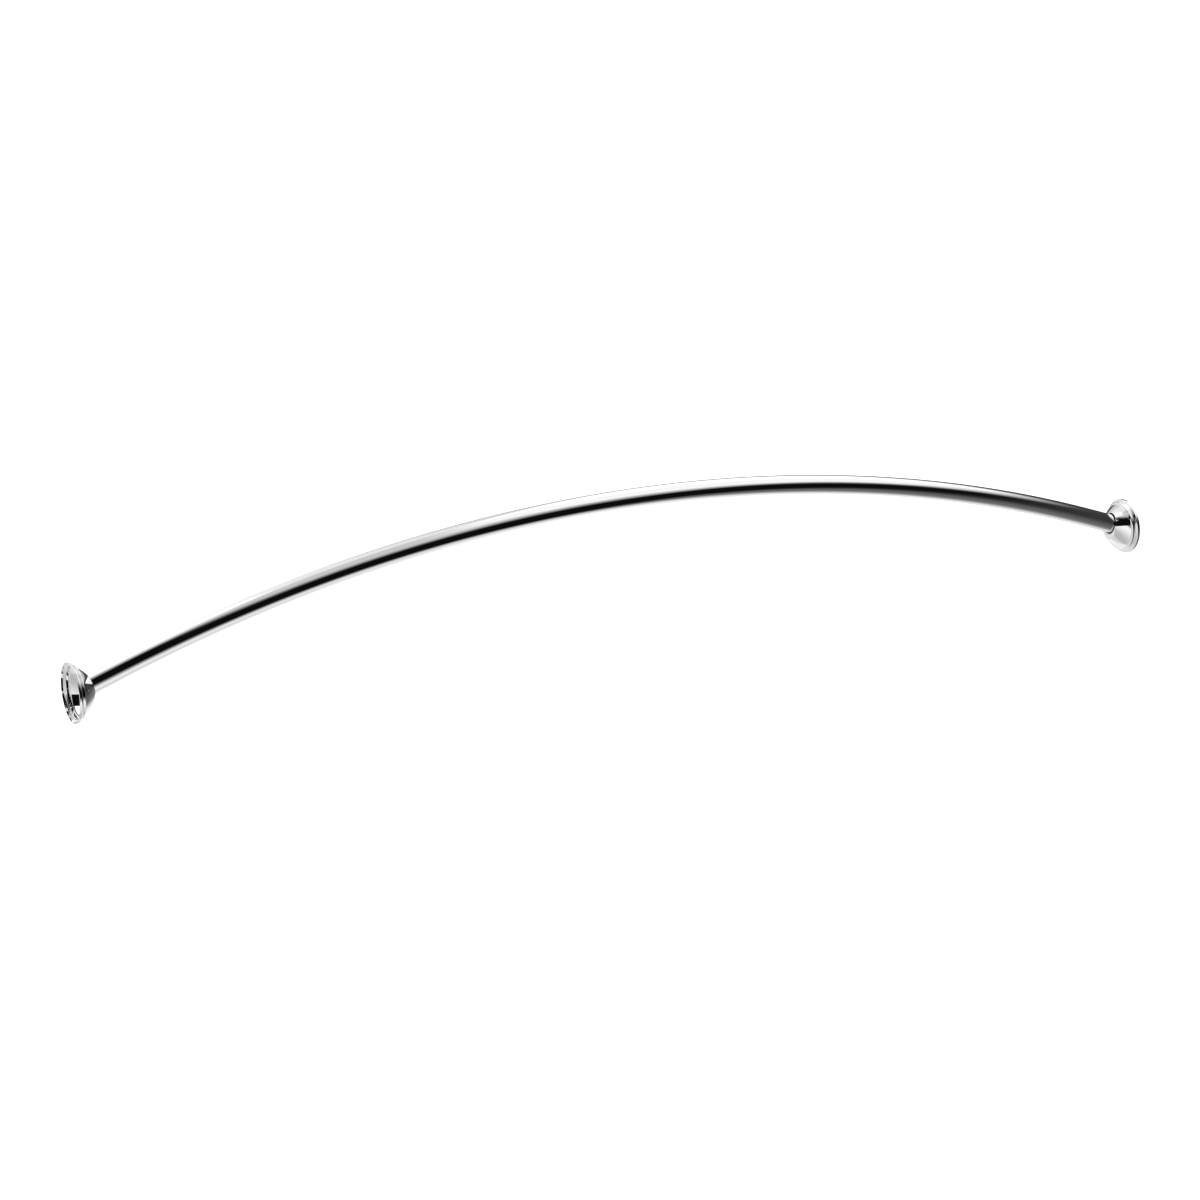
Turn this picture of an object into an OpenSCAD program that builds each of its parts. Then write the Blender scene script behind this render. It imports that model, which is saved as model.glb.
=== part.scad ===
// Curved shower curtain rod: one bent tube with a sliding wall cover at each end.
// Millimetres. The origin is the centre of the left cover's wall ring. +X runs along the
// wall-to-wall line to the right wall, the rod bows out along +Y and +Z is up.

/* [Span and bow] */
// Distance from the left wall to the right wall
wall_span = 1524; // [1400:1:1600]
// How far the tube's centre line bows out at mid-span
bow = 140; // [130:1:180]
// Radius of the bend, on the tube's centre line
bend_r = 2100; // [1900:10:2300]
// Distance from each wall at which the bend ends and the straight end starts
bend_inset = 62; // [56:1:90]
// Distance from each wall to the cut end of the tube
end_gap = 14; // [10:1:15]

/* [Tube] */
// Outside diameter of the tube
tube_d = 25.4; // [25:0.1:26]
// Wall thickness of the tube
tube_wall = 0.9; // [0.7:0.1:1.5]
// Break of the sharp edge at the cut ends
tube_break = 0.2; // [0.1:0.1:0.3]

/* [Wall cover] */
// Diameter of the ring that meets the wall
rim_d = 75; // [70:1:90]
// Height of the outer band above the wall
band_h = 4.6; // [4:0.2:6]
// Radius of the outer band's rounded shoulder
band_round = 2; // [1.5:0.1:2.4]
// Diameter of the step above the outer band
step_d = 67.2; // [66:0.2:68]
// Height of the step above the wall
step_h = 9.6; // [9:0.2:11]
// Radius of the step's rounded shoulder
step_round = 1.5; // [1.3:0.1:2]
// Radius in the two corners below the step and below the dome
cove = 0.8; // [0.6:0.1:1]
// Diameter of the dome where it rises from the step
dome_d = 61.4; // [60:0.2:62]
// Radius of the dome's long curve from the step to its crown
dome_curve = 55; // [45:1:80]
// Diameter of the crown, where the dome's curve ends and the crown's round starts
crown_d = 30.8; // [29:0.2:32]
// Height of that place above the wall, about half a millimetre short of the whole depth
crown_h = 26.3; // [25.5:0.1:28]
// Radius of the crown's round
crown_round = 2.6; // [2:0.1:3]
// Thickness of the pressed sheet
sheet = 1.2; // [0.8:0.1:1.2]

/* [Neck and liner] */
// Diameter of the slanted hole that the tube passes through
neck_d = 29; // [28.4:0.1:29.4]
// Length of the liner, from its flange's face to its outer end
liner_len = 7.6; // [6:0.1:8]
// Width of the liner's flange beyond the neck hole
liner_lip = 1.1; // [0.8:0.1:1.4]
// Thickness of the liner's flange
liner_flange = 1; // [0.8:0.1:1.2]
// Distance from the tube's end to the liner's flange
liner_set = 1; // [0.6:0.1:1.2]
// Radial clearance between liner and tube, and between cover and liner
slip = 0.05; // [0.02:0.01:0.08]

/* [Hidden] */

// Facets used only for the preview
round_fn = 96;
bend_fn = 1080;

// Points along the arcs of the cover's section
shoulder_steps = 6;
cove_steps = 5;
dome_steps = 16;

// How far a cutting tool runs past the face that it cuts
poke = 1;

mid_x = wall_span / 2;
tube_r = tube_d / 2;
bore_r = tube_r - tube_wall;
rim_r = rim_d / 2;
step_r = step_d / 2;
dome_r = dome_d / 2;
crown_r = crown_d / 2;
neck_r = neck_d / 2;

// Half of the bend's angle, which is also the slant of the tube's straight ends to the wall line
slant = asin((mid_x - bend_inset) / bend_r);
// Angle by which each half of the bend runs past mid-span before it is cut square there
bend_over = 1;

straight_len = (bend_inset - end_gap) / cos(slant);
bend_start_y = bow - bend_r * (1 - cos(slant));
end_y = bend_start_y - straight_len * sin(slant);

// Along the tube from its cut end: where the collar starts, clear of the liner's flange,
// and a length with which it always reaches the dome, where it is trimmed
collar_in = liner_set + liner_flange + slip;
collar_len = 16;

// Points of an arc about [x, y], from angle a to angle b
function arc(x, y, r, a, b, n) =
    [for (i = [0:n]) let (u = a + (b - a) * i / n) [x + r * cos(u), y + r * sin(u)]];

// Centre of a circle of radius r through p and q, on the side below the line from p to q
function below(p, q, r) =
    let (d = q - p, h = norm(d) / 2, m = (p + q) / 2, n = [d[1], -d[0]] / norm(d))
    m + n * sqrt(r * r - h * h);

// The dome's long curve: its foot on the step, the start of the crown's round, and its centre
dome_foot = [step_h + cove / 2, dome_r];
dome_top = [crown_h, crown_r];
dome_mid = below(dome_foot, dome_top, dome_curve);
foot_angle = atan2(dome_foot[1] - dome_mid[1], dome_foot[0] - dome_mid[0]);
top_angle = atan2(dome_top[1] - dome_mid[1], dome_top[0] - dome_mid[0]);

// Centre of the crown's round, which leaves the dome's curve at dome_top and ends flat
crown_mid = dome_top - crown_round * [cos(top_angle), sin(top_angle)];

// Half section of the cover as [height above the wall, radius], set in from the outside by t
function cover_line(t) = concat(
    [[0, rim_r - t]],
    arc(band_h - band_round, rim_r - band_round, band_round - t, 90, 0, shoulder_steps),
    arc(band_h + cove, step_r + cove, cove + t, 180, 270, cove_steps),
    arc(step_h - step_round, step_r - step_round, step_round - t, 90, 0, shoulder_steps),
    [[step_h - t, dome_r + cove]],
    arc(dome_mid[0], dome_mid[1], dome_curve - t, foot_angle, top_angle, dome_steps),
    arc(crown_mid[0], crown_mid[1], crown_round - t, top_angle, 0, shoulder_steps)
);

// Everything inside the cover's outline, set in by t, standing on the wall and rising along +Z
module cover_solid(t) {
    line = cover_line(t);
    last = line[len(line) - 1];
    rotate_extrude($fn = round_fn)
        polygon(concat([[0, 0]], [for (p = line) [p[1], p[0]]], [[0, last[0]]]));
}

// Moves a child that runs along +Z from its origin onto the tube's left end, out towards the bow
module on_left_end() {
    translate([end_gap, end_y, 0]) rotate([0, 90, slant]) children();
}

// Turns a cover that rises along +Z to stand out from the left wall
module on_left_wall() {
    rotate([0, 90, 0]) children();
}

// Mirrors a left-hand piece to the right-hand end
module at_right() {
    translate([wall_span, 0, 0]) mirror([1, 0, 0]) children();
}

// A straight pipe of outside radius a and inside radius b
module pipe(a, b, h) {
    difference() {
        cylinder(r = a, h = h, $fn = round_fn);
        translate([0, 0, -poke]) cylinder(r = b, h = h + 2 * poke, $fn = round_fn);
    }
}

// Straight end of the tube, rising along +Z from its cut edge, whose corner is broken
module straight_end() {
    rotate_extrude($fn = round_fn)
        polygon([
            [bore_r, 0], [tube_r - tube_break, 0], [tube_r, tube_break],
            [tube_r, straight_len], [bore_r, straight_len]
        ]);
}

// Right half of the tube: the straight end and the bend that follows it, cut square at mid-span
module half_tube() {
    difference() {
        translate([mid_x, bow - bend_r, 0]) rotate([0, 0, 90 - slant]) {
            translate([bend_r, -straight_len, 0]) rotate([-90, 0, 0]) straight_end();
            rotate_extrude(angle = slant + bend_over, $fn = bend_fn) translate([bend_r, 0]) difference() {
                circle(r = tube_r, $fn = round_fn);
                circle(r = bore_r, $fn = round_fn);
            }
        }
        translate([mid_x - wall_span, -bend_r, -tube_d]) cube([wall_span, 2 * bend_r, 2 * tube_d]);
    }
}

// One tube: a long even bend between two straight ends
module curved_tube() {
    color("gainsboro") {
        half_tube();
        at_right() half_tube();
    }
}

// Pressed cover: stepped rim and shallow dome, open at the wall, with a slanted neck hole
// whose edge is turned inwards into a short collar
module cover() {
    difference() {
        union() {
            difference() {
                on_left_wall() cover_solid(0);
                on_left_wall() translate([0, 0, -poke])
                    cylinder(r = rim_r - sheet, h = 2 * poke, $fn = round_fn);
                on_left_wall() cover_solid(sheet);
            }
            intersection() {
                on_left_wall() cover_solid(sheet / 2);
                on_left_end() translate([0, 0, collar_in])
                    cylinder(r = neck_r + sheet, h = collar_len, $fn = round_fn);
            }
        }
        on_left_end() cylinder(r = neck_r, h = 2 * collar_len, $fn = round_fn);
    }
}

module left_cover() {
    color("silver") cover();
}

module right_cover() {
    color("silver") at_right() cover();
}

// Moulded liner that lets the cover slide and turn on the tube without marking it
module neck_liner() {
    on_left_end() translate([0, 0, liner_set]) {
        pipe(neck_r + liner_lip, tube_r + slip, liner_flange);
        pipe(neck_r - slip, tube_r + slip, liner_len);
    }
}

module left_neck_liner() {
    color("dimgray") neck_liner();
}

module right_neck_liner() {
    color("dimgray") at_right() neck_liner();
}

curved_tube();
left_cover();
right_cover();
left_neck_liner();
right_neck_liner();
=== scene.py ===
import math

import bpy
import numpy as np
from mathutils import Matrix, Vector


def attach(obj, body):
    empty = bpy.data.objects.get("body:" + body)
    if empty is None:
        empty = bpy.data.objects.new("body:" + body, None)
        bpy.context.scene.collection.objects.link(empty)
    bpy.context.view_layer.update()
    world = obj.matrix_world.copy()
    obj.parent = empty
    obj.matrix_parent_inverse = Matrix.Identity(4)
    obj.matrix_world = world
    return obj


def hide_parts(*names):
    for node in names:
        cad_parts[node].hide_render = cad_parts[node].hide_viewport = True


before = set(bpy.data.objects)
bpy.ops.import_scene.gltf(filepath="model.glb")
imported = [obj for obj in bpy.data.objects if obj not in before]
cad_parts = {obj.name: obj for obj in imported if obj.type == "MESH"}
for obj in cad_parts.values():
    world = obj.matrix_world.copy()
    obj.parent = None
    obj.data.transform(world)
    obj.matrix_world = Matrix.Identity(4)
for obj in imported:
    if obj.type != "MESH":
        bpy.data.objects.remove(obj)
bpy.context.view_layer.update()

scene = bpy.context.scene
scene.view_settings.view_transform = "Standard"


# Curved tube
# One length of drawn steel tube, bent to a long even curve between two short straight ends.
# It is cut square, its edges are broken, and it is polished and chrome plated all over.
# Each end takes a wall bracket's stub, out of sight inside its cover.

WALL_SPAN = 1.524
BOW = 0.140
BEND_RADIUS = 2.100
BEND_INSET = 0.062
END_GAP = 0.014
TUBE_RADIUS = 0.0127
TUBE_WALL = 0.0009
LIP_ROUND = 0.0002
EDGE_ROWS = np.array([0.0005, 0.002])
END_MARGIN = 0.006
SKIN_ROWS, BORE_ROWS, TUBE_SLICES = 420, 90, 96
SLANT = math.asin((WALL_SPAN / 2 - BEND_INSET) / BEND_RADIUS)
STRAIGHT = (BEND_INSET - END_GAP) / math.cos(SLANT)
TUBE_LENGTH = 2 * STRAIGHT + 2 * SLANT * BEND_RADIUS


def tube_line(s):
    """Point and direction of the tube's centre line, s metres along it from the left cut end.
    The direction turns evenly from +SLANT to -SLANT over the bend and holds still outside it.
    The point is the one on the bend's circle, moved on along the tangent in the straight ends."""
    a = np.clip((s - STRAIGHT) / BEND_RADIUS - SLANT, -SLANT, SLANT)
    past = s - STRAIGHT - (a + SLANT) * BEND_RADIUS
    along = np.stack([np.cos(a), -np.sin(a), 0 * a], -1)
    circle = np.stack([np.sin(a), np.cos(a) - 1, 0 * a], -1) * BEND_RADIUS
    return circle + past[..., None] * along + [WALL_SPAN / 2, BOW, 0], along


def arc(x, y, radius, start, end, count):
    """Points of an arc about (x, y), evenly spaced from angle start to angle end in degrees."""
    t = np.radians(np.linspace(start, end, count + 1))
    return np.stack([x + radius * np.cos(t), y + radius * np.sin(t)], -1)


def lengths(line):
    """Distance along a line of points, from its first point to each one."""
    return np.append(0, np.cumsum(np.linalg.norm(np.diff(line, axis=0), axis=1)))


def surface(name, points, along, around):
    """Mesh over a grid points[i, j] that closes on itself in both directions.
    Each face joins a point to the next ones in i and j. The winding is reversed where the
    signed volume of all faces comes out negative, so that the faces point outwards.
    along and around give the pattern's coordinates in metres, one more than the grid's points,
    so that the pattern doesn't run backwards over the closing faces."""
    rows, cols = points.shape[:2]
    i, j = np.meshgrid(np.arange(rows), np.arange(cols), indexing="ij")
    step = [(0, 0), (1, 0), (1, 1), (0, 1)]
    faces = np.stack([(i + a) % rows * cols + (j + b) % cols for a, b in step], -1).reshape(-1, 4)
    pattern = np.stack([np.stack([along[i + a], around[j + b]], -1) for a, b in step], -2)
    pattern = pattern.reshape(-1, 4, 2)
    flat = points.reshape(-1, 3)
    p = flat[faces]
    leaning = np.cross(p[:, 1], p[:, 2]) + np.cross(p[:, 2], p[:, 3])
    volume = np.einsum("ij,ij->", p[:, 0], leaning)
    if volume < 0:
        faces, pattern = faces[:, ::-1], pattern[:, ::-1]
    mesh = bpy.data.meshes.new(name)
    mesh.vertices.add(len(flat))
    mesh.vertices.foreach_set("co", flat.astype(np.float32).ravel())
    mesh.loops.add(faces.size)
    mesh.loops.foreach_set("vertex_index", np.ascontiguousarray(faces, np.int32).ravel())
    mesh.polygons.add(len(faces))
    mesh.polygons.foreach_set("loop_start", np.arange(0, faces.size, 4, dtype=np.int32))
    mesh.polygons.foreach_set("use_smooth", np.ones(len(faces), bool))
    mesh.update(calc_edges=True)
    layer = mesh.uv_layers.new(name="pattern")
    layer.data.foreach_set("uv", np.ascontiguousarray(pattern, np.float32).ravel())
    mesh.validate()
    obj = bpy.data.objects.new(name, mesh)
    scene.collection.objects.link(obj)
    return obj


def tube_rows(count):
    """Distances along the tube for one run of its section: set by EDGE_ROWS near the two cut
    ends, and count of them evenly spaced between the margins."""
    even = np.linspace(END_MARGIN, TUBE_LENGTH - END_MARGIN, count)
    return np.concatenate([EDGE_ROWS, even, TUBE_LENGTH - EDGE_ROWS[::-1]])


def tube_section():
    """Closed line [distance along, radius] round the tube's wall, from the left cut end:
    the outer skin, the broken edge at the right end, the bore back, and the left edge."""
    inner = TUBE_RADIUS - TUBE_WALL
    r = LIP_ROUND
    skin = tube_rows(SKIN_ROWS)
    bore = tube_rows(BORE_ROWS)[::-1]
    return np.concatenate([
        arc(r, TUBE_RADIUS - r, r, 180, 90, 4),
        np.stack([skin, 0 * skin + TUBE_RADIUS], -1),
        arc(TUBE_LENGTH - r, TUBE_RADIUS - r, r, 90, 0, 4),
        arc(TUBE_LENGTH - r, inner + r, r, 0, -90, 4),
        np.stack([bore, 0 * bore + inner], -1),
        arc(r, inner + r, r, -90, -180, 4),
    ])


section = tube_section()
turn = np.linspace(0, 2 * np.pi, TUBE_SLICES, endpoint=False)
centre, direction = tube_line(section[:, 0])
side = np.stack([-direction[:, 1], direction[:, 0], 0 * section[:, 0]], -1)
spoke = np.cos(turn)[None, :, None] * side[:, None] + np.sin(turn)[None, :, None] * np.array([0, 0, 1])
points = centre[:, None] + section[:, 1, None, None] * spoke
tube = surface("tube_skin", points, lengths(np.vstack([section, section[:1]])),
               np.linspace(0, 2 * np.pi * TUBE_RADIUS, TUBE_SLICES + 1))


def link(tree, *pairs):
    """Joins pairs of sockets in a node tree."""
    for out, into in pairs:
        tree.links.new(out, into)


def plating_group():
    """Buffed plating. A slow cloud in Object coordinates shifts the tint and the gloss a little.
    Rub marks are noise on the surface's own pattern, stretched 60 times round the piece."""
    group = bpy.data.node_groups.new("buffed_plating", "ShaderNodeTree")
    for name, kind in (("Clear Tint", "NodeSocketColor"), ("Deep Tint", "NodeSocketColor"),
                       ("Gloss Floor", "NodeSocketFloat"), ("Gloss Spread", "NodeSocketFloat")):
        group.interface.new_socket(name, in_out="INPUT", socket_type=kind)
    for name, kind in (("Tint", "NodeSocketColor"), ("Roughness", "NodeSocketFloat"),
                       ("Relief", "NodeSocketFloat")):
        group.interface.new_socket(name, in_out="OUTPUT", socket_type=kind)
    n = group.nodes
    ins, outs = n.new("NodeGroupInput"), n.new("NodeGroupOutput")
    place, uv = n.new("ShaderNodeTexCoord"), n.new("ShaderNodeUVMap")
    uv.uv_map = "pattern"
    cloud = n.new("ShaderNodeTexNoise")
    cloud.inputs["Scale"].default_value = 14
    cloud.inputs["Detail"].default_value = 3
    stretch = n.new("ShaderNodeMapping")
    stretch.inputs["Scale"].default_value = (3000, 50, 1)
    rub = n.new("ShaderNodeTexNoise")
    rub.inputs["Scale"].default_value = 1
    rub.inputs["Detail"].default_value = 4
    tint = n.new("ShaderNodeMix")
    tint.data_type = "RGBA"
    both = n.new("ShaderNodeMath")
    both.operation = "MULTIPLY"
    rough = n.new("ShaderNodeMath")
    rough.operation = "MULTIPLY_ADD"
    link(group,
         (place.outputs["Object"], cloud.inputs["Vector"]),
         (uv.outputs["UV"], stretch.inputs["Vector"]),
         (stretch.outputs["Vector"], rub.inputs["Vector"]),
         (cloud.outputs["Fac"], tint.inputs["Factor"]),
         (ins.outputs["Clear Tint"], tint.inputs["A"]),
         (ins.outputs["Deep Tint"], tint.inputs["B"]),
         (cloud.outputs["Fac"], both.inputs[0]),
         (rub.outputs["Fac"], both.inputs[1]),
         (both.outputs[0], rough.inputs[0]),
         (ins.outputs["Gloss Spread"], rough.inputs[1]),
         (ins.outputs["Gloss Floor"], rough.inputs[2]),
         (tint.outputs["Result"], outs.inputs["Tint"]),
         (rough.outputs[0], outs.inputs["Roughness"]),
         (rub.outputs["Fac"], outs.inputs["Relief"]))
    return group


plating = plating_group()


def chrome(name, clear, deep, floor, spread, relief):
    """Bright chrome: a metal whose tint, gloss and rub marks come from the plating group."""
    material = bpy.data.materials.new(name)
    material.use_nodes = True
    n = material.node_tree.nodes
    shader = n["Principled BSDF"]
    shader.inputs["Metallic"].default_value = 1
    effect = n.new("ShaderNodeGroup")
    effect.node_tree = plating
    effect.inputs["Clear Tint"].default_value = (*clear, 1)
    effect.inputs["Deep Tint"].default_value = (*deep, 1)
    effect.inputs["Gloss Floor"].default_value = floor
    effect.inputs["Gloss Spread"].default_value = spread
    bump = n.new("ShaderNodeBump")
    bump.inputs["Strength"].default_value = 0.1
    bump.inputs["Distance"].default_value = relief
    link(material.node_tree,
         (effect.outputs["Tint"], shader.inputs["Base Color"]),
         (effect.outputs["Roughness"], shader.inputs["Roughness"]),
         (effect.outputs["Relief"], bump.inputs["Height"]),
         (bump.outputs["Normal"], shader.inputs["Normal"]))
    return material


CLEAR_TINT, DEEP_TINT = (0.95, 0.953, 0.96), (0.91, 0.913, 0.92)
GLOSS_FLOOR, RUB_RELIEF = 0.02, 0.000004
tube.data.materials.append(
    chrome("tube_chrome", CLEAR_TINT, DEEP_TINT, GLOSS_FLOOR, 0.06, RUB_RELIEF))
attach(tube, "rod")
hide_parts("curved_tube")


# Wall covers
# Each end has a bell pressed from one sheet: a flat ring that meets the wall, a band, a step,
# a shallow dome and a crown. A slanted hole lets the tube through, and its edge is turned
# inwards into a short collar. The two are the same, buffed and chrome plated like the tube.

RIM_RADIUS = 0.0375
BAND_HEIGHT, BAND_ROUND = 0.0046, 0.0020
STEP_RADIUS, STEP_HEIGHT, STEP_ROUND = 0.0336, 0.0096, 0.0015
COVE = 0.0008
DOME_RADIUS, DOME_CURVE = 0.0307, 0.055
CROWN_RADIUS, CROWN_HEIGHT, CROWN_ROUND = 0.0154, 0.0263, 0.0026
SHEET = 0.0012
NECK_RADIUS = 0.0145
COLLAR_START = 0.00205
NECK_ROUND = 0.0008
COLLAR_ROUND = 0.0004
WALL_EDGE = 0.00015
CROWN_END = 0.003
FIRST_SHARE = 0.00005
SLICES, OUTER_ROWS, INNER_ROWS = 300, 90, 60

neck_start, neck_axis = (v[0] for v in tube_line(np.zeros(1)))
neck_side = np.array([-neck_axis[1], neck_axis[0], 0])


def eased(line, gap=0.00012):
    """The line with a point close to each end of every straight run over 4 gaps long,
    so that smooth shading keeps the runs flat between the rounds."""
    s = lengths(line)
    long = np.diff(s) > 4 * gap
    spots = np.unique(np.concatenate([s, s[:-1][long] + gap, s[1:][long] - gap]))
    return np.stack([np.interp(spots, s, line[:, k]) for k in (0, 1)], -1)


def cover_section(inset):
    """Half section [height above the wall, radius] of the cover, set in by inset from the
    outside: the rim, band, cove, step, then the dome's arc and the crown's round, to the middle.
    Returns the stepped part up to the dome's foot, and the dome."""
    foot = np.array([STEP_HEIGHT + COVE / 2, DOME_RADIUS])
    top = np.array([CROWN_HEIGHT, CROWN_RADIUS])
    chord = top - foot
    half = np.linalg.norm(chord) / 2
    across = np.array([chord[1], -chord[0]]) / (2 * half)
    mid = (foot + top) / 2 + across * math.sqrt(DOME_CURVE**2 - half**2)
    low, high = (math.degrees(math.atan2(p[1] - mid[1], p[0] - mid[0])) for p in (foot, top))
    turn_over = math.radians(high)
    crown = top - CROWN_ROUND * np.array([math.cos(turn_over), math.sin(turn_over)])
    steps = np.concatenate([
        [[WALL_EDGE, RIM_RADIUS - inset]],
        arc(BAND_HEIGHT - BAND_ROUND, RIM_RADIUS - BAND_ROUND, BAND_ROUND - inset, 90, 0, 12),
        arc(BAND_HEIGHT + COVE, STEP_RADIUS + COVE, COVE + inset, 180, 270, 8),
        arc(STEP_HEIGHT - STEP_ROUND, STEP_RADIUS - STEP_ROUND, STEP_ROUND - inset, 90, 0, 12),
        [[STEP_HEIGHT - inset, DOME_RADIUS + COVE]],
    ])
    dome = np.concatenate([
        arc(mid[0], mid[1], DOME_CURVE - inset, low, high, 800),
        arc(crown[0], crown[1], CROWN_ROUND - inset, high, 0, 200)[1:],
        [[crown[0] + CROWN_ROUND - inset, CROWN_END]],
    ])
    return steps, dome


def spun(line, turn):
    """Points of a half section [height, radius] turned by each angle about the cover's axis."""
    h, r = line[..., 0] + 0 * turn, line[..., 1]
    return np.stack([h, r * np.cos(turn), r * np.sin(turn)], -1)


def neck_place(p):
    """Distance along the neck's axis, distance from it, and angle round it."""
    w = p - neck_start
    t = w @ neck_axis
    out = w - t[..., None] * neck_axis
    a, b = out @ neck_side, out[..., 2]
    return t, np.hypot(a, b), np.arctan2(b, a)


def neck_point(t, radius, angle):
    """Point of the neck's cylinder, the inverse of neck_place."""
    out = np.cos(angle)[..., None] * neck_side + np.sin(angle)[..., None] * np.array([0, 0, 1])
    return neck_start + t[..., None] * neck_axis + radius[..., None] * out


def rounded(a, corner, b, count):
    """Quadratic curves from points a to points b, each drawn towards its corner."""
    t = np.linspace(0, 1, count)[:, None, None]
    return (1 - t) ** 2 * a + 2 * t * (1 - t) * corner + t**2 * b


def cover_skin(inset, radius, count):
    """One skin of the dome from its foot to the neck, as points[i, j] over count rows and all
    slices, and the corner where it meets a cylinder of that radius about the neck's axis.
    On each slice the dome's line is followed to the first place nearer the axis than radius,
    and the rows share out the way there evenly, stopping NECK_ROUND short of the corner."""
    steps, dome = cover_section(inset)
    s = lengths(dome)
    near = neck_place(spun(dome[:, None], slices[None]))[1]
    k = np.argmax(near < radius, axis=0)
    pick = np.arange(len(slices))
    before, after = near[k - 1, pick], near[k, pick]
    end = s[k - 1] + (s[k] - s[k - 1]) * (before - radius) / (before - after)

    def at(where):
        return spun(np.stack([np.interp(where, s, dome[:, c]) for c in (0, 1)], -1), slices)

    rows = at(np.linspace(FIRST_SHARE, 1, count)[:, None] * (end - NECK_ROUND))
    ring = spun(eased(steps)[:, None], slices[None])
    return np.concatenate([ring, rows]), at(end)


slices = np.linspace(0, 2 * np.pi, SLICES, endpoint=False)
outer, outer_corner = cover_skin(0, NECK_RADIUS, OUTER_ROWS)
inner, inner_corner = cover_skin(SHEET, NECK_RADIUS + SHEET, INNER_ROWS)
t_out, _, angle_out = neck_place(outer_corner)
t_in, _, angle_in = neck_place(inner_corner)
angle_in = angle_out + (angle_in - angle_out + np.pi) % (2 * np.pi) - np.pi
wide = np.full(SLICES, NECK_RADIUS)
low = np.full(SLICES, COLLAR_START)
share = np.linspace(0, 1, 10)[1:-1, None]

mouth = neck_point(t_out - NECK_ROUND, wide, angle_out)
bore_end = neck_point(low + COLLAR_ROUND, wide, angle_out)
back_start = neck_point(low + COLLAR_ROUND, wide + SHEET, angle_out)
back_end = neck_point(t_in - NECK_ROUND, wide + SHEET, angle_in)
bore_wall = mouth + share[..., None] * (bore_end - mouth)
back_wall = back_start + share[..., None] * (back_end - back_start)
lip_in = neck_point(low, wide, angle_out)
lip_out = neck_point(low, wide + SHEET, angle_out)
lip_flat = [neck_point(low, wide + f, angle_out)[None]
            for f in (COLLAR_ROUND, SHEET - COLLAR_ROUND)]
wall_ring = [spun(np.array([0, RIM_RADIUS - f])[None], slices)[None]
             for f in (SHEET - WALL_EDGE, WALL_EDGE)]

loop = np.concatenate([
    wall_ring[0], wall_ring[1], outer,
    rounded(outer[-1], outer_corner, mouth, 10)[1:], bore_wall,
    rounded(bore_end, lip_in, lip_flat[0][0], 5), rounded(lip_flat[1][0], lip_out, back_start, 5),
    back_wall, rounded(back_end, inner_corner, inner[-1], 10), inner[-2::-1],
])
loop_length = lengths(np.concatenate([loop, loop[:1]])[:, 0])
round_length = np.linspace(0, 2 * np.pi * DOME_RADIUS, SLICES + 1)

cover_chrome = chrome("cover_chrome", CLEAR_TINT, DEEP_TINT, GLOSS_FLOOR, 0.05, RUB_RELIEF)
for name, body, flip, offset in (("left_cover_shell", "left_cover", 1, 0),
                                 ("right_cover_shell", "right_cover", -1, WALL_SPAN)):
    shell = surface(name, loop * [flip, 1, 1] + [offset, 0, 0], loop_length, round_length)
    shell.data.materials.append(cover_chrome)
    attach(shell, body)
    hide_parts(body)


# Neck liners
# Inside each neck sits a black nylon ring, moulded in one piece with a flange at its inner end.
# It keeps the cover from scratching the tube, and lets it slide back from the wall and turn.

LINER_START, LINER_LENGTH = 0.001, 0.0076
LINER_FLANGE, LINER_LIP = 0.001, 0.0011
SLIP = 0.00005
LINER_ROUND = 0.00015
LINER_SLICES, LINER_GIRTH = 120, 0.09


def liner_section():
    """Closed line [distance along the neck, radius]: flange, sleeve, outer end and bore."""
    r = LINER_ROUND
    inner_radius, sleeve = TUBE_RADIUS + SLIP, NECK_RADIUS - SLIP
    flange = NECK_RADIUS + LINER_LIP
    end = LINER_START + LINER_LENGTH
    back = LINER_START + LINER_FLANGE
    return eased(np.concatenate([
        arc(LINER_START + r, inner_radius + r, r, 270, 180, 4),
        arc(LINER_START + r, flange - r, r, 180, 90, 4),
        arc(back - r, flange - r, r, 90, 0, 4),
        arc(back + r, sleeve + r, r, 180, 270, 4),
        arc(end - r, sleeve - r, r, 90, 0, 4),
        arc(end - r, inner_radius + r, r, 0, -90, 4),
    ]), 0.00004)


def nylon(name):
    """Moulded nylon: near black, with a fine spark-eroded texture and a slow change of gloss."""
    material = bpy.data.materials.new(name)
    material.use_nodes = True
    n = material.node_tree.nodes
    shader = n["Principled BSDF"]
    place = n.new("ShaderNodeTexCoord")
    grain, cloud = n.new("ShaderNodeTexNoise"), n.new("ShaderNodeTexNoise")
    grain.inputs["Scale"].default_value = 4000
    cloud.inputs["Scale"].default_value = 120
    colour, gloss = n.new("ShaderNodeValToRGB"), n.new("ShaderNodeMapRange")
    colour.color_ramp.elements[0].color = (0.045, 0.045, 0.048, 1)
    colour.color_ramp.elements[1].color = (0.075, 0.075, 0.08, 1)
    gloss.inputs["To Min"].default_value = 0.38
    gloss.inputs["To Max"].default_value = 0.55
    bump = n.new("ShaderNodeBump")
    bump.inputs["Strength"].default_value = 0.3
    bump.inputs["Distance"].default_value = 0.00003
    link(material.node_tree,
         (place.outputs["Object"], grain.inputs["Vector"]),
         (place.outputs["Object"], cloud.inputs["Vector"]),
         (cloud.outputs["Fac"], colour.inputs["Fac"]),
         (cloud.outputs["Fac"], gloss.inputs["Value"]),
         (grain.outputs["Fac"], bump.inputs["Height"]),
         (colour.outputs["Color"], shader.inputs["Base Color"]),
         (gloss.outputs["Result"], shader.inputs["Roughness"]),
         (bump.outputs["Normal"], shader.inputs["Normal"]))
    return material


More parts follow.
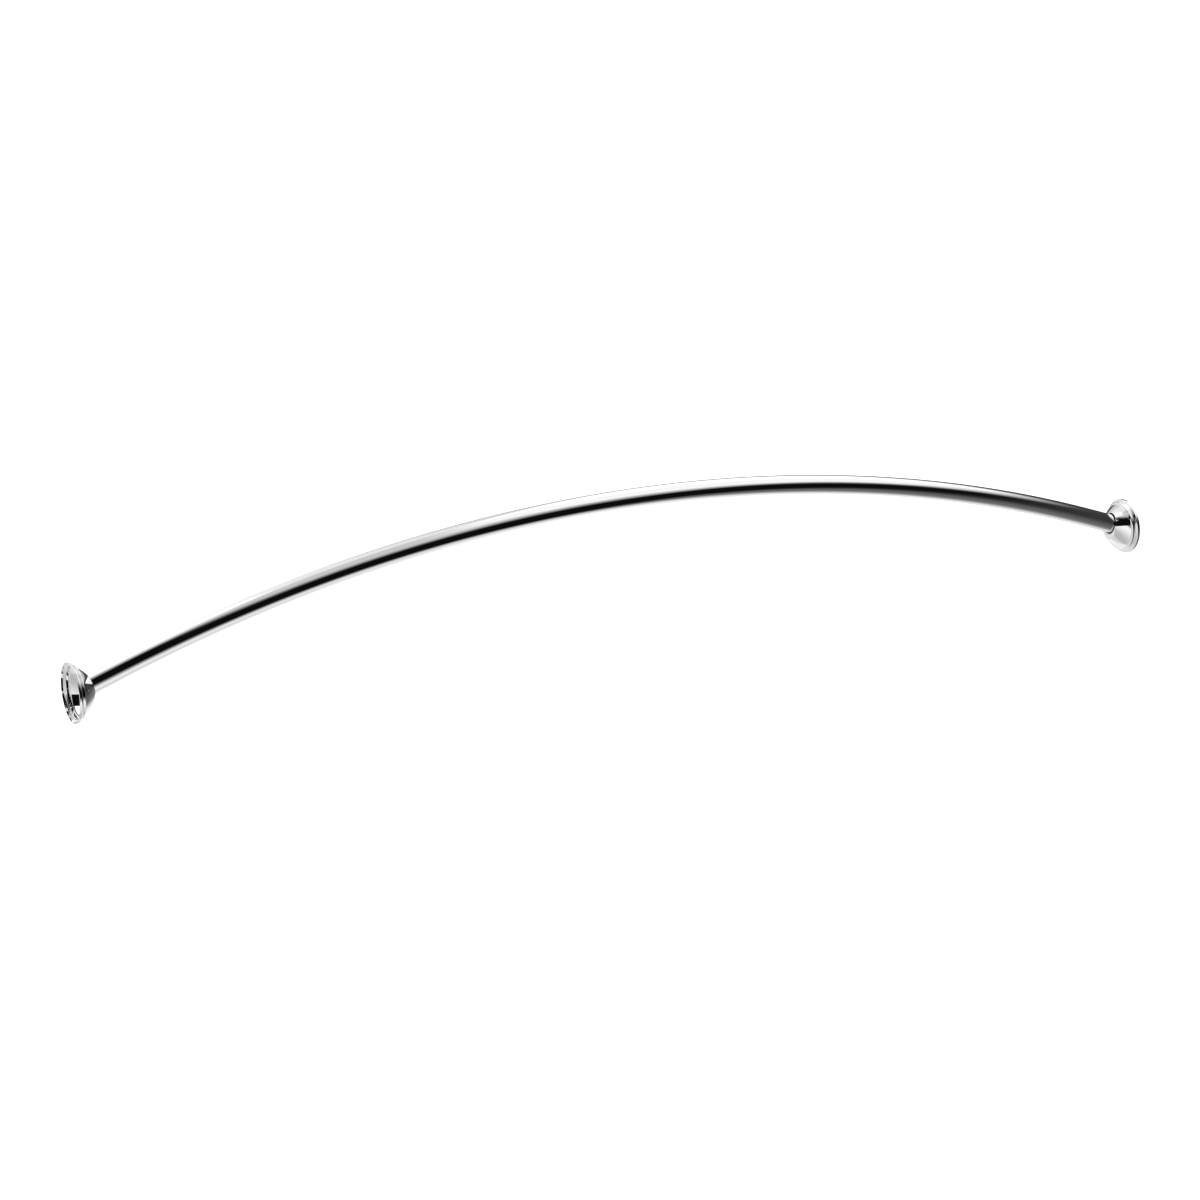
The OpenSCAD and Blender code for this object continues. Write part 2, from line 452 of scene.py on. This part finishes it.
section = liner_section()
turn = np.linspace(0, 2 * np.pi, LINER_SLICES, endpoint=False)
ring = neck_point(section[:, :1] + 0 * turn, section[:, 1:] + 0 * turn, turn + 0 * section[:, :1])
liner_nylon = nylon("liner_nylon")
for name, body, node, flip, offset in (
        ("left_liner_ring", "left_liner", "left_neck_liner", 1, 0),
        ("right_liner_ring", "right_liner", "right_neck_liner", -1, WALL_SPAN)):
    liner = surface(name, ring * [flip, 1, 1] + [offset, 0, 0],
                    lengths(np.vstack([section, section[:1]])),
                    np.linspace(0, LINER_GIRTH, LINER_SLICES + 1))
    liner.data.materials.append(liner_nylon)
    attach(liner, body)
    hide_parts(node)


# Studio
# A pale floor well below the rod, a white surround, and a round tent of dark gauze that only
# mirror surfaces see. The gauze is thin where the white should show in the chrome and thick
# where a studio hangs its black cloths.

TENT_CENTRE = np.array([0.762, 0.07, 0.0])
TENT_RADIUS = 2.5
FLOOR_HEIGHT, FLOOR_HALF = -2.7, 40.0
SURROUND_STRENGTH = 0.5


def ramp(x, start, end):
    """Smooth step from 0 at start to 1 at end."""
    t = np.clip((x - start) / (end - start), 0, 1)
    return t * t * (3 - 2 * t)


def oval(x, y, centre, size, inside, outside):
    """1 within an oval patch and 0 outside it, with a soft edge between two shares of its size."""
    far = np.hypot((x - centre[0]) / size[0], (y - centre[1]) / size[1])
    return 1 - ramp(far, inside, outside)


def gauze(x, y):
    """Share of the white surround that the tent lets through, over a flat map of the tent:
    x and y are degrees down from overhead, towards +X and towards +Y."""
    # A pale wall, white at the upper left, and the white panel over the bow
    wall = 0.6 - 0.22 * ramp(0.8 * x + 0.6 * y, 70, 140)
    wall += (0.92 - wall) * oval(x, y, (-48, 95), (28, 38), 0.7, 1.3)
    wall += (1 - wall) * oval(x, y, (52, 73), (37, 38), 0.95, 1.3)
    # The black cloth below them, cut to a wide V
    left_edge = ramp(0.61 * x + 0.79 * y - 23.4, -3, 24)
    right_edge = ramp(-0.414 * x + 0.911 * y + 4.3, 0, 22)
    upper = wall * np.minimum(left_edge, right_edge)
    # What is left open under the cloth: pale on the left, dim grey on the right
    low_left = (1 - 0.5 * ramp(-y - 0.8 * x, 20, 90)) * ramp(-0.793 * x - 0.61 * y - 0.6, 3, 20)
    fill = 0.035 + 0.1 * ramp(-y, -10, 55) + 0.5 * ramp(-y, 50, 100)
    low_right = fill * ramp(0.92 * x - 0.39 * y - 43.2, -4, 8)
    light = np.maximum(np.maximum(upper, low_left), low_right)
    # A second black cloth, a straight band that runs out to the left
    band = ramp(y, 10.5, 13.5) * (1 - ramp(y, 53, 57)) * (1 - ramp(x, -22, -8))
    return 0.004 + 0.996 * light * (1 - band)


down, about = np.meshgrid(np.linspace(0, 180, 241), np.linspace(0, 360, 361), indexing="ij")
d, a = np.radians(down), np.radians(about)
tent_points = TENT_CENTRE + TENT_RADIUS * np.stack(
    [np.sin(d) * np.cos(a), np.sin(d) * np.sin(a), np.cos(d)], -1)
rows, cols = down.shape
i, j = np.meshgrid(np.arange(rows - 1), np.arange(cols - 1), indexing="ij")
first = i * cols + j
tent_faces = np.stack([first, first + 1, first + cols + 1, first + cols], -1)
mesh = bpy.data.meshes.new("tent")
mesh.from_pydata(tent_points.reshape(-1, 3), [], tent_faces.reshape(-1, 4))
mesh.attributes.new("gauze", "FLOAT", "POINT").data.foreach_set(
    "value", gauze(down * np.cos(a), down * np.sin(a)).astype(np.float32).ravel())
tent = bpy.data.objects.new("tent", mesh)
scene.collection.objects.link(tent)
tent.visible_camera = tent.visible_diffuse = tent.visible_shadow = False
tent.visible_transmission = tent.visible_volume_scatter = False

material = bpy.data.materials.new("tent_gauze")
material.use_nodes = True
n = material.node_tree.nodes
n.clear()
weave, cloth, out = (n.new(k) for k in (
    "ShaderNodeAttribute", "ShaderNodeBsdfTransparent", "ShaderNodeOutputMaterial"))
weave.attribute_name = "gauze"
link(material.node_tree, (weave.outputs["Color"], cloth.inputs["Color"]),
     (cloth.outputs[0], out.inputs["Surface"]))
mesh.materials.append(material)


def seen_white(tree, strength):
    """White light for rays from the camera, mirrors and glass, and a plain strength for the rest.
    Returns the socket of the strength."""
    n = tree.nodes
    path = n.new("ShaderNodeLightPath")
    first, second = n.new("ShaderNodeMath"), n.new("ShaderNodeMath")
    first.operation = second.operation = "MAXIMUM"
    mix = n.new("ShaderNodeMix")
    mix.inputs["A"].default_value = strength
    mix.inputs["B"].default_value = 1
    link(tree, (path.outputs["Is Camera Ray"], first.inputs[0]),
         (path.outputs["Is Glossy Ray"], first.inputs[1]),
         (first.outputs[0], second.inputs[0]),
         (path.outputs["Is Transmission Ray"], second.inputs[1]),
         (second.outputs[0], mix.inputs["Factor"]))
    return mix.outputs["Result"]


world = bpy.data.worlds.new("white_surround")
world.use_nodes = True
scene.world = world
back = world.node_tree.nodes["Background"]
back.inputs["Color"].default_value = (1, 1, 1, 1)
link(world.node_tree, (seen_white(world.node_tree, SURROUND_STRENGTH), back.inputs["Strength"]))

mesh = bpy.data.meshes.new("floor")
floor_corners = [(x * FLOOR_HALF, y * FLOOR_HALF, FLOOR_HEIGHT)
                 for x, y in ((-1, -1), (1, -1), (1, 1), (-1, 1))]
mesh.from_pydata(floor_corners, [], [(0, 1, 2, 3)])
floor = bpy.data.objects.new("floor", mesh)
scene.collection.objects.link(floor)
material = bpy.data.materials.new("floor_paper")
material.use_nodes = True
n = material.node_tree.nodes
n.clear()
paper, glow, both, out = (n.new(k) for k in (
    "ShaderNodeBsdfDiffuse", "ShaderNodeEmission", "ShaderNodeAddShader", "ShaderNodeOutputMaterial"))
paper.inputs["Color"].default_value = (0.8, 0.8, 0.8, 1)
link(material.node_tree, (seen_white(material.node_tree, 0), glow.inputs["Strength"]),
     (paper.outputs[0], both.inputs[0]), (glow.outputs[0], both.inputs[1]),
     (both.outputs[0], out.inputs["Surface"]))
mesh.materials.append(material)

tent_middle = Vector(TENT_CENTRE)
for name, place, size, power in (("key", (2.0, 2.2, 1.6), 1.6, 45),
                                 ("fill", (-0.8, -1.6, 2.2), 1.8, 25)):
    lamp = bpy.data.lights.new(name, "AREA")
    lamp.shape, lamp.size, lamp.energy = "DISK", size, power
    holder = bpy.data.objects.new(name, lamp)
    scene.collection.objects.link(holder)
    holder.location = place
    holder.rotation_euler = (tent_middle - Vector(place)).to_track_quat("-Z", "Y").to_euler()
    holder.visible_glossy = False


# Camera
# A long lens above the left end, turned so that the bow points up the picture.

camera = bpy.data.objects.new("camera", bpy.data.cameras.new("camera"))
scene.collection.objects.link(camera)
scene.camera = camera
camera.data.sensor_width = 36
camera.data.lens = 97.78
camera.data.clip_end = 200
camera.matrix_world = Matrix((
    (0.89346, 0.14106, -0.42643, -1.0775),
    (-0.02669, 0.96440, 0.26309, 1.1134),
    (0.44836, -0.22368, 0.86541, 3.6227),
    (0, 0, 0, 1)))
